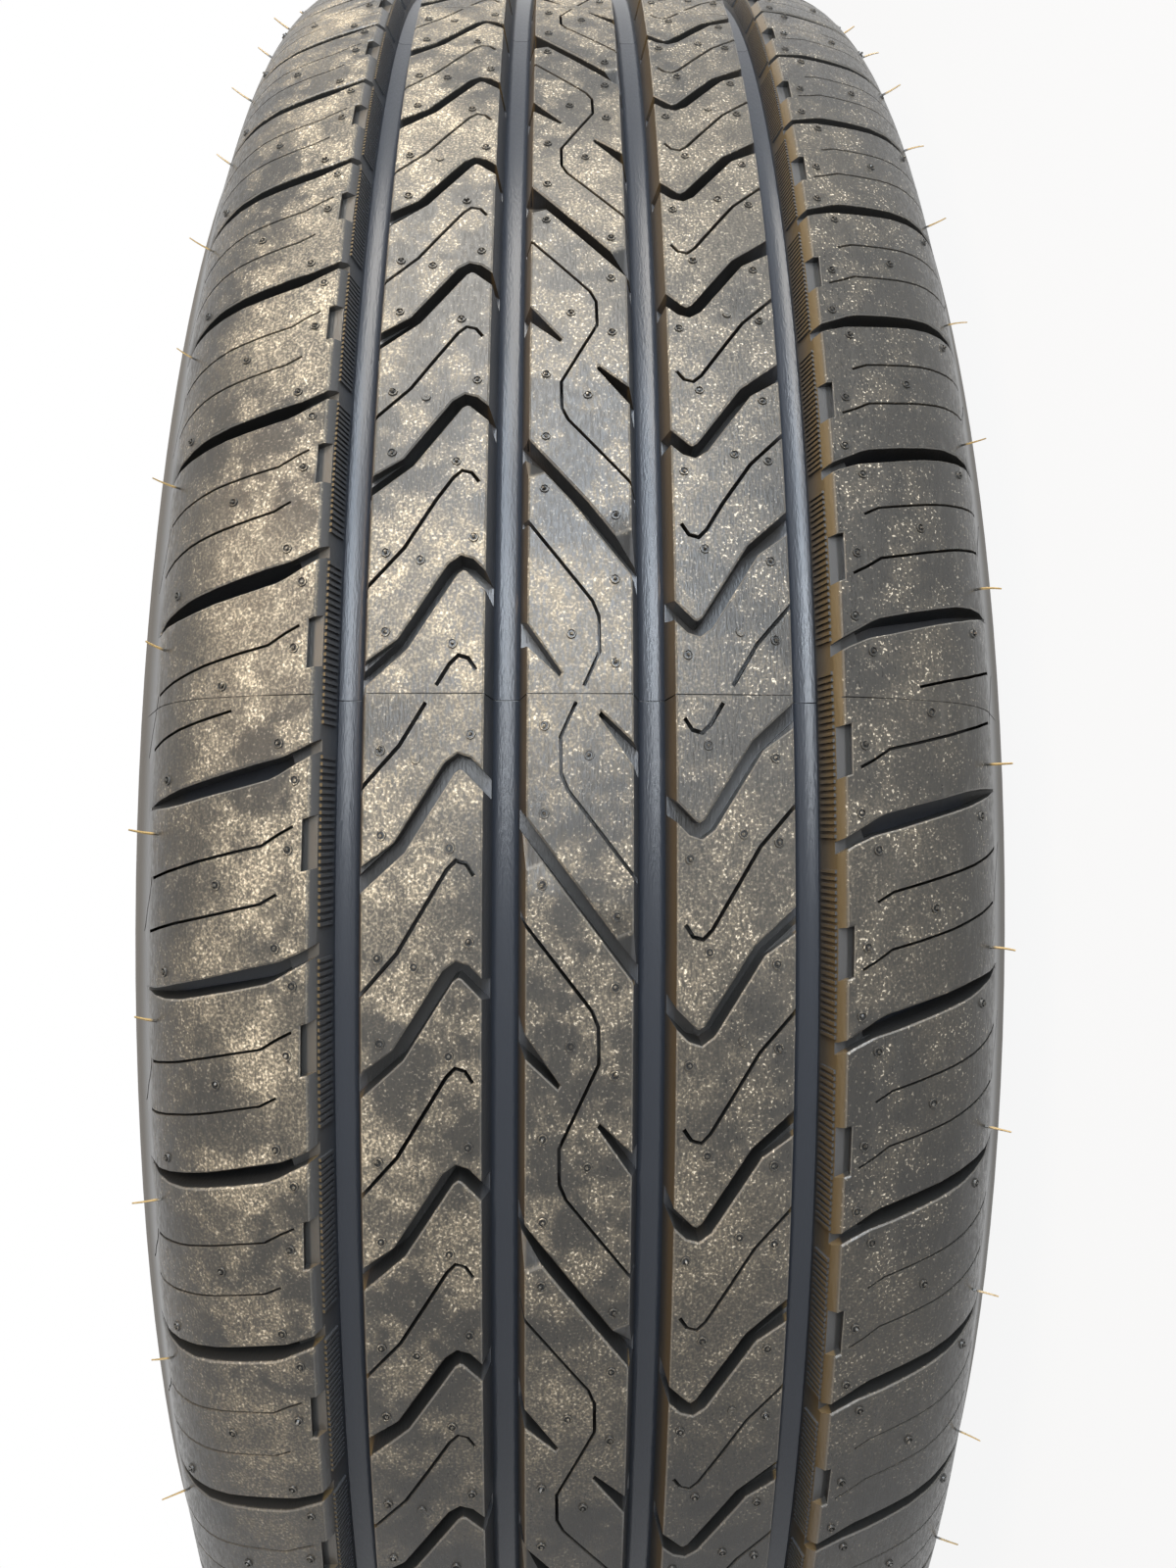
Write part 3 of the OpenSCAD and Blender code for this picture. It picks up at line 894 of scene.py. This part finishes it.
# Soft studio light. The picture looks along +Y with +X upwards, so the key light stands at +X.
studio = {
    "floorColour": (0.82, 0.83, 0.85, 1),
    "floorWhite": 0.9,  # how much of the floor is plain white to the eye, the rest keeps the shadow
    "floorSize": 20,
    "ambient": 0.06,
    "aim": (0, -0.25, 0),
}
lamps = {
    "key": {"place": (1.02, -0.78, 0.14), "size": (0.7, 0.4), "power": 8.5, "colour": (1.0, 0.96, 0.89)},
    "sheen": {"place": (0.36, -1.33, 0.08), "size": (0.7, 0.32), "power": 9.0, "colour": (0.90, 0.95, 1.0)},
    "cool": {"place": (0.32, -0.66, -0.03), "size": (0.34, 0.12), "power": 1.4, "colour": (0.74, 0.86, 1.0)},
    "warm": {"place": (0.40, -0.85, 0.62), "size": (0.4, 0.4), "power": 3.0, "colour": (1.0, 0.69, 0.41)},
}


def seenByEye(start):
    # 1 for rays from the camera, and for those that a reflection or a clear material sends on
    rays = ("Is Camera Ray", "Is Glossy Ray", "Is Transmission Ray")
    camera, glossy, clear = [start.node("LightPath", {}, {}, ray) for ray in rays]
    return start.math("MINIMUM", camera + glossy + clear, 1)


def floorMaterial():
    # White to the eye like the background, yet it keeps a part of the tyre's shadow
    material = bpy.data.materials.new("pale_floor")
    material.use_nodes = True
    tree = material.node_tree
    start = Shade(tree)
    tree.nodes.remove(tree.nodes["Principled BSDF"])
    matt = start.node("BsdfDiffuse", {}, {"Color": studio["floorColour"]})
    white = start.node("Emission", {}, {"Color": (1, 1, 1, 1), "Strength": 1.0})
    mixed = start.node("MixShader", {}, {0: seenByEye(start) * studio["floorWhite"], 1: matt, 2: white})
    tree.links.new(mixed.socket, tree.nodes["Material Output"].inputs["Surface"])
    return material


def makeFloor():
    bm = bmesh.new()
    bmesh.ops.create_grid(bm, x_segments=1, y_segments=1, size=studio["floorSize"])
    bmesh.ops.translate(bm, verts=bm.verts, vec=(0, 0, -halfWidth * mm))
    made = meshObject("floor", bm)
    made.data.materials.append(floorMaterial())
    return made


def makeLamp(name, lamp):
    light = bpy.data.lights.new(name, "AREA")
    light.shape, light.energy, light.color = "RECTANGLE", lamp["power"], lamp["colour"]
    light.size, light.size_y = lamp["size"]
    obj = bpy.data.objects.new(name, light)
    obj.location = lamp["place"]
    obj.rotation_euler = (Vector(studio["aim"]) - obj.location).to_track_quat("-Z", "Y").to_euler()
    bpy.context.scene.collection.objects.link(obj)


def makeWorld():
    # White where the camera or a reflection sees it, and a weaker light everywhere else
    world = bpy.data.worlds.new("studio")
    bpy.context.scene.world = world
    world.use_nodes = True
    background = world.node_tree.nodes["Background"]
    background.inputs["Color"].default_value = (1, 1, 1, 1)
    ambient = studio["ambient"]
    strength = seenByEye(Shade(world.node_tree)) * (1 - ambient) + ambient
    world.node_tree.links.new(strength.socket, background.inputs["Strength"])


floor = makeFloor()
for name, lamp in lamps.items():
    makeLamp(name, lamp)
makeWorld()
print("camera, floor and lamps placed")

bpy.context.scene.view_settings.view_transform = "Standard"
